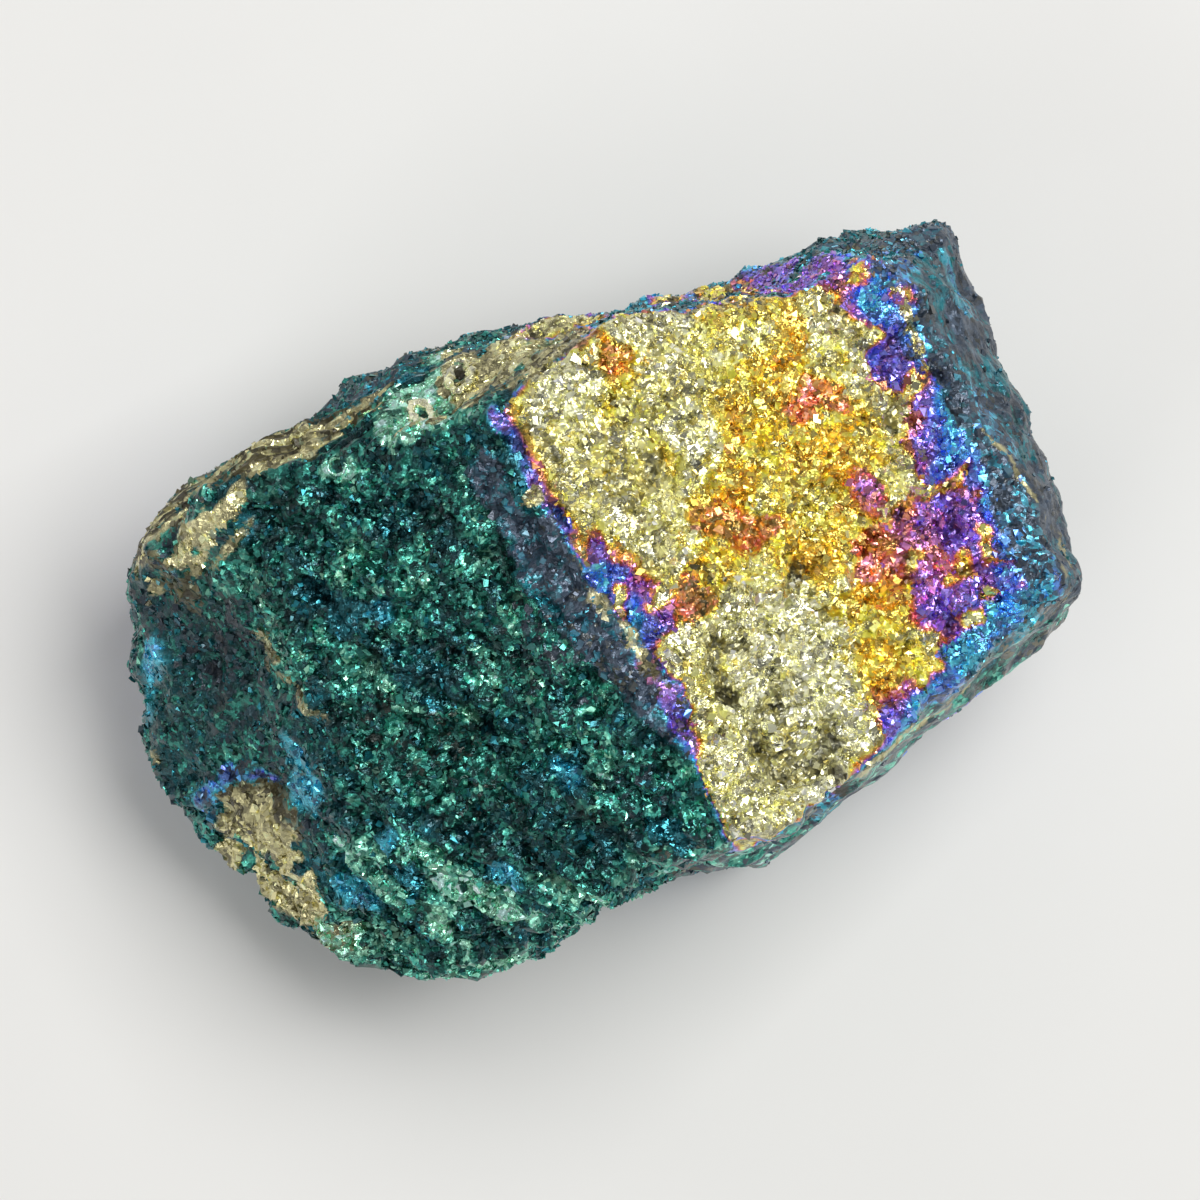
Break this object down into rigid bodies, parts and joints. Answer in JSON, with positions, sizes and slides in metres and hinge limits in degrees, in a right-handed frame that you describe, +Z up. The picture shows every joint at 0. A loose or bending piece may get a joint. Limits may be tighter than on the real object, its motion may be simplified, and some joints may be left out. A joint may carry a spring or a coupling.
{
  "type": "peacock ore stone",
  "caption": "Rough lump of tarnished peacock ore with broken faces running from pale gold to violet, blue and teal.",
  "frame": {"origin": "on the plane the stone rests on, under the middle of its length and width", "axes": "+Z up from the rest spot, +X along the longest extent towards the steel blue side, +Y across towards the gold face's far edge"},
  "size_m": [0.0579, 0.0456, 0.0357],
  "materials": {
    "tarnished_ore": "satin, metallic tarnish from pale gold to teal"
  },
  "bodies": {
    "root": {"peacock_ore": "tarnished_ore"}
  },
  "joints": []
}
